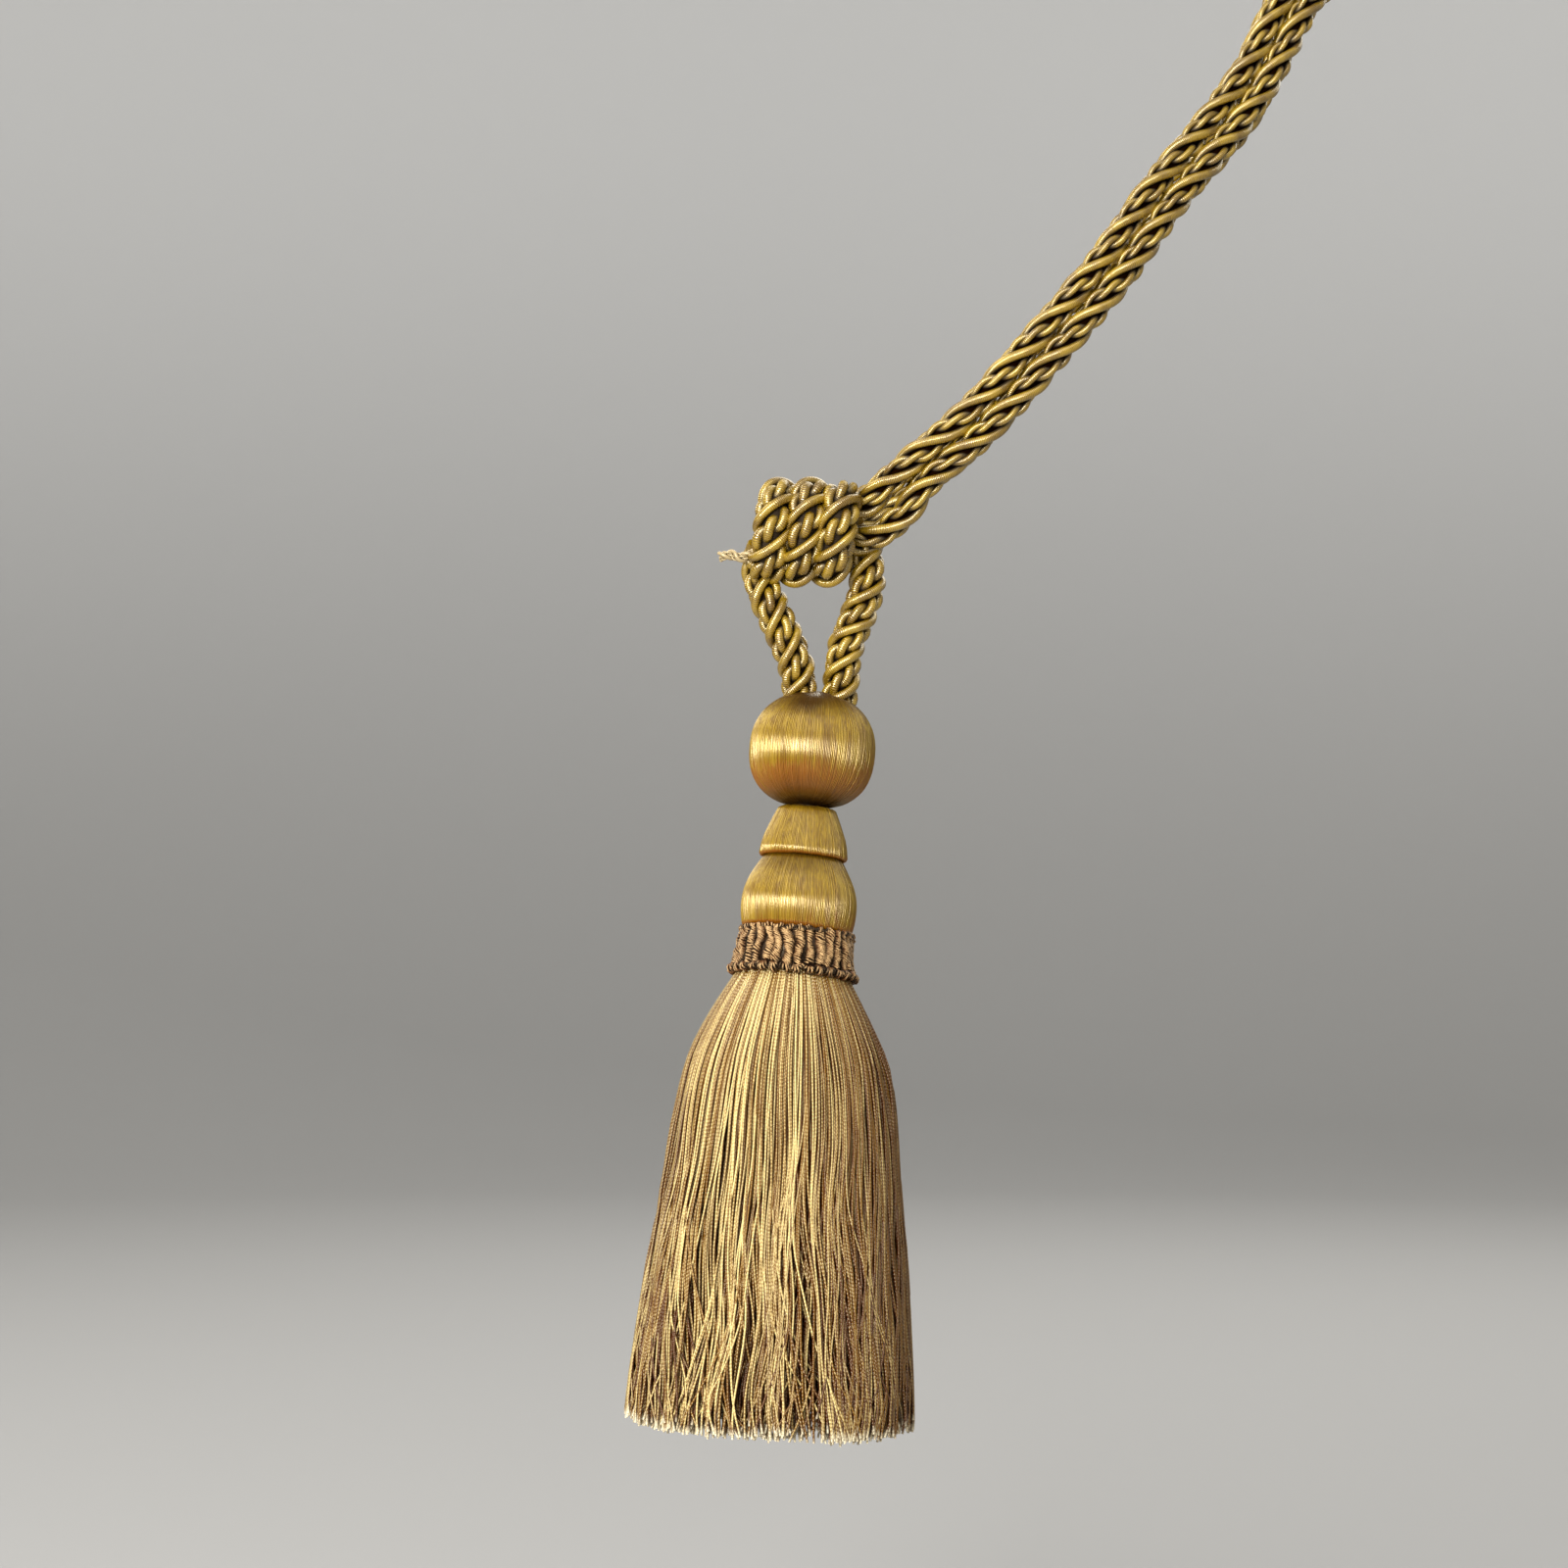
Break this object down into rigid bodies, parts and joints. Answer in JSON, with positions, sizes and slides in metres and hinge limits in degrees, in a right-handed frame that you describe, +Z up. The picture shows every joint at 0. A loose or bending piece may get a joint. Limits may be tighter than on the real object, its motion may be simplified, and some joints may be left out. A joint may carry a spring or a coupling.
{
  "type": "curtain tieback tassel on a doubled rope",
  "caption": "Twisted rope tieback that embraces a gathered curtain, with hook loops, a wrapped knot and a hanging tassel of floss beads, gimp ruff and yarn skirt.",
  "frame": {"origin": "where the two rope loops sit on their wall hook, midway between the loops", "axes": "+Z up, +X along the wall from the tassel towards the hook, -Y out of the wall into the room"},
  "size_m": [0.2564, 0.1374, 0.5259],
  "materials": {
    "rope": "satin rayon gimp, twisted",
    "floss": "glossy satin floss laid lengthwise",
    "gimp": "coiled gimp cord, matt",
    "yarn": "plied rayon yarn, soft sheen"
  },
  "bodies": {
    "root": {"rope_front_upper": "rope", "rope_front_lower": "rope", "hook_loop_front": "rope", "rope_back_upper": "rope", "rope_back_lower": "rope", "hook_loop_back": "rope", "knot": "rope", "leg_left": "rope", "leg_right": "rope", "ball": "floss", "bell": "floss", "bulb": "floss", "ruff": "gimp", "skirt": "yarn"}
  },
  "joints": []
}
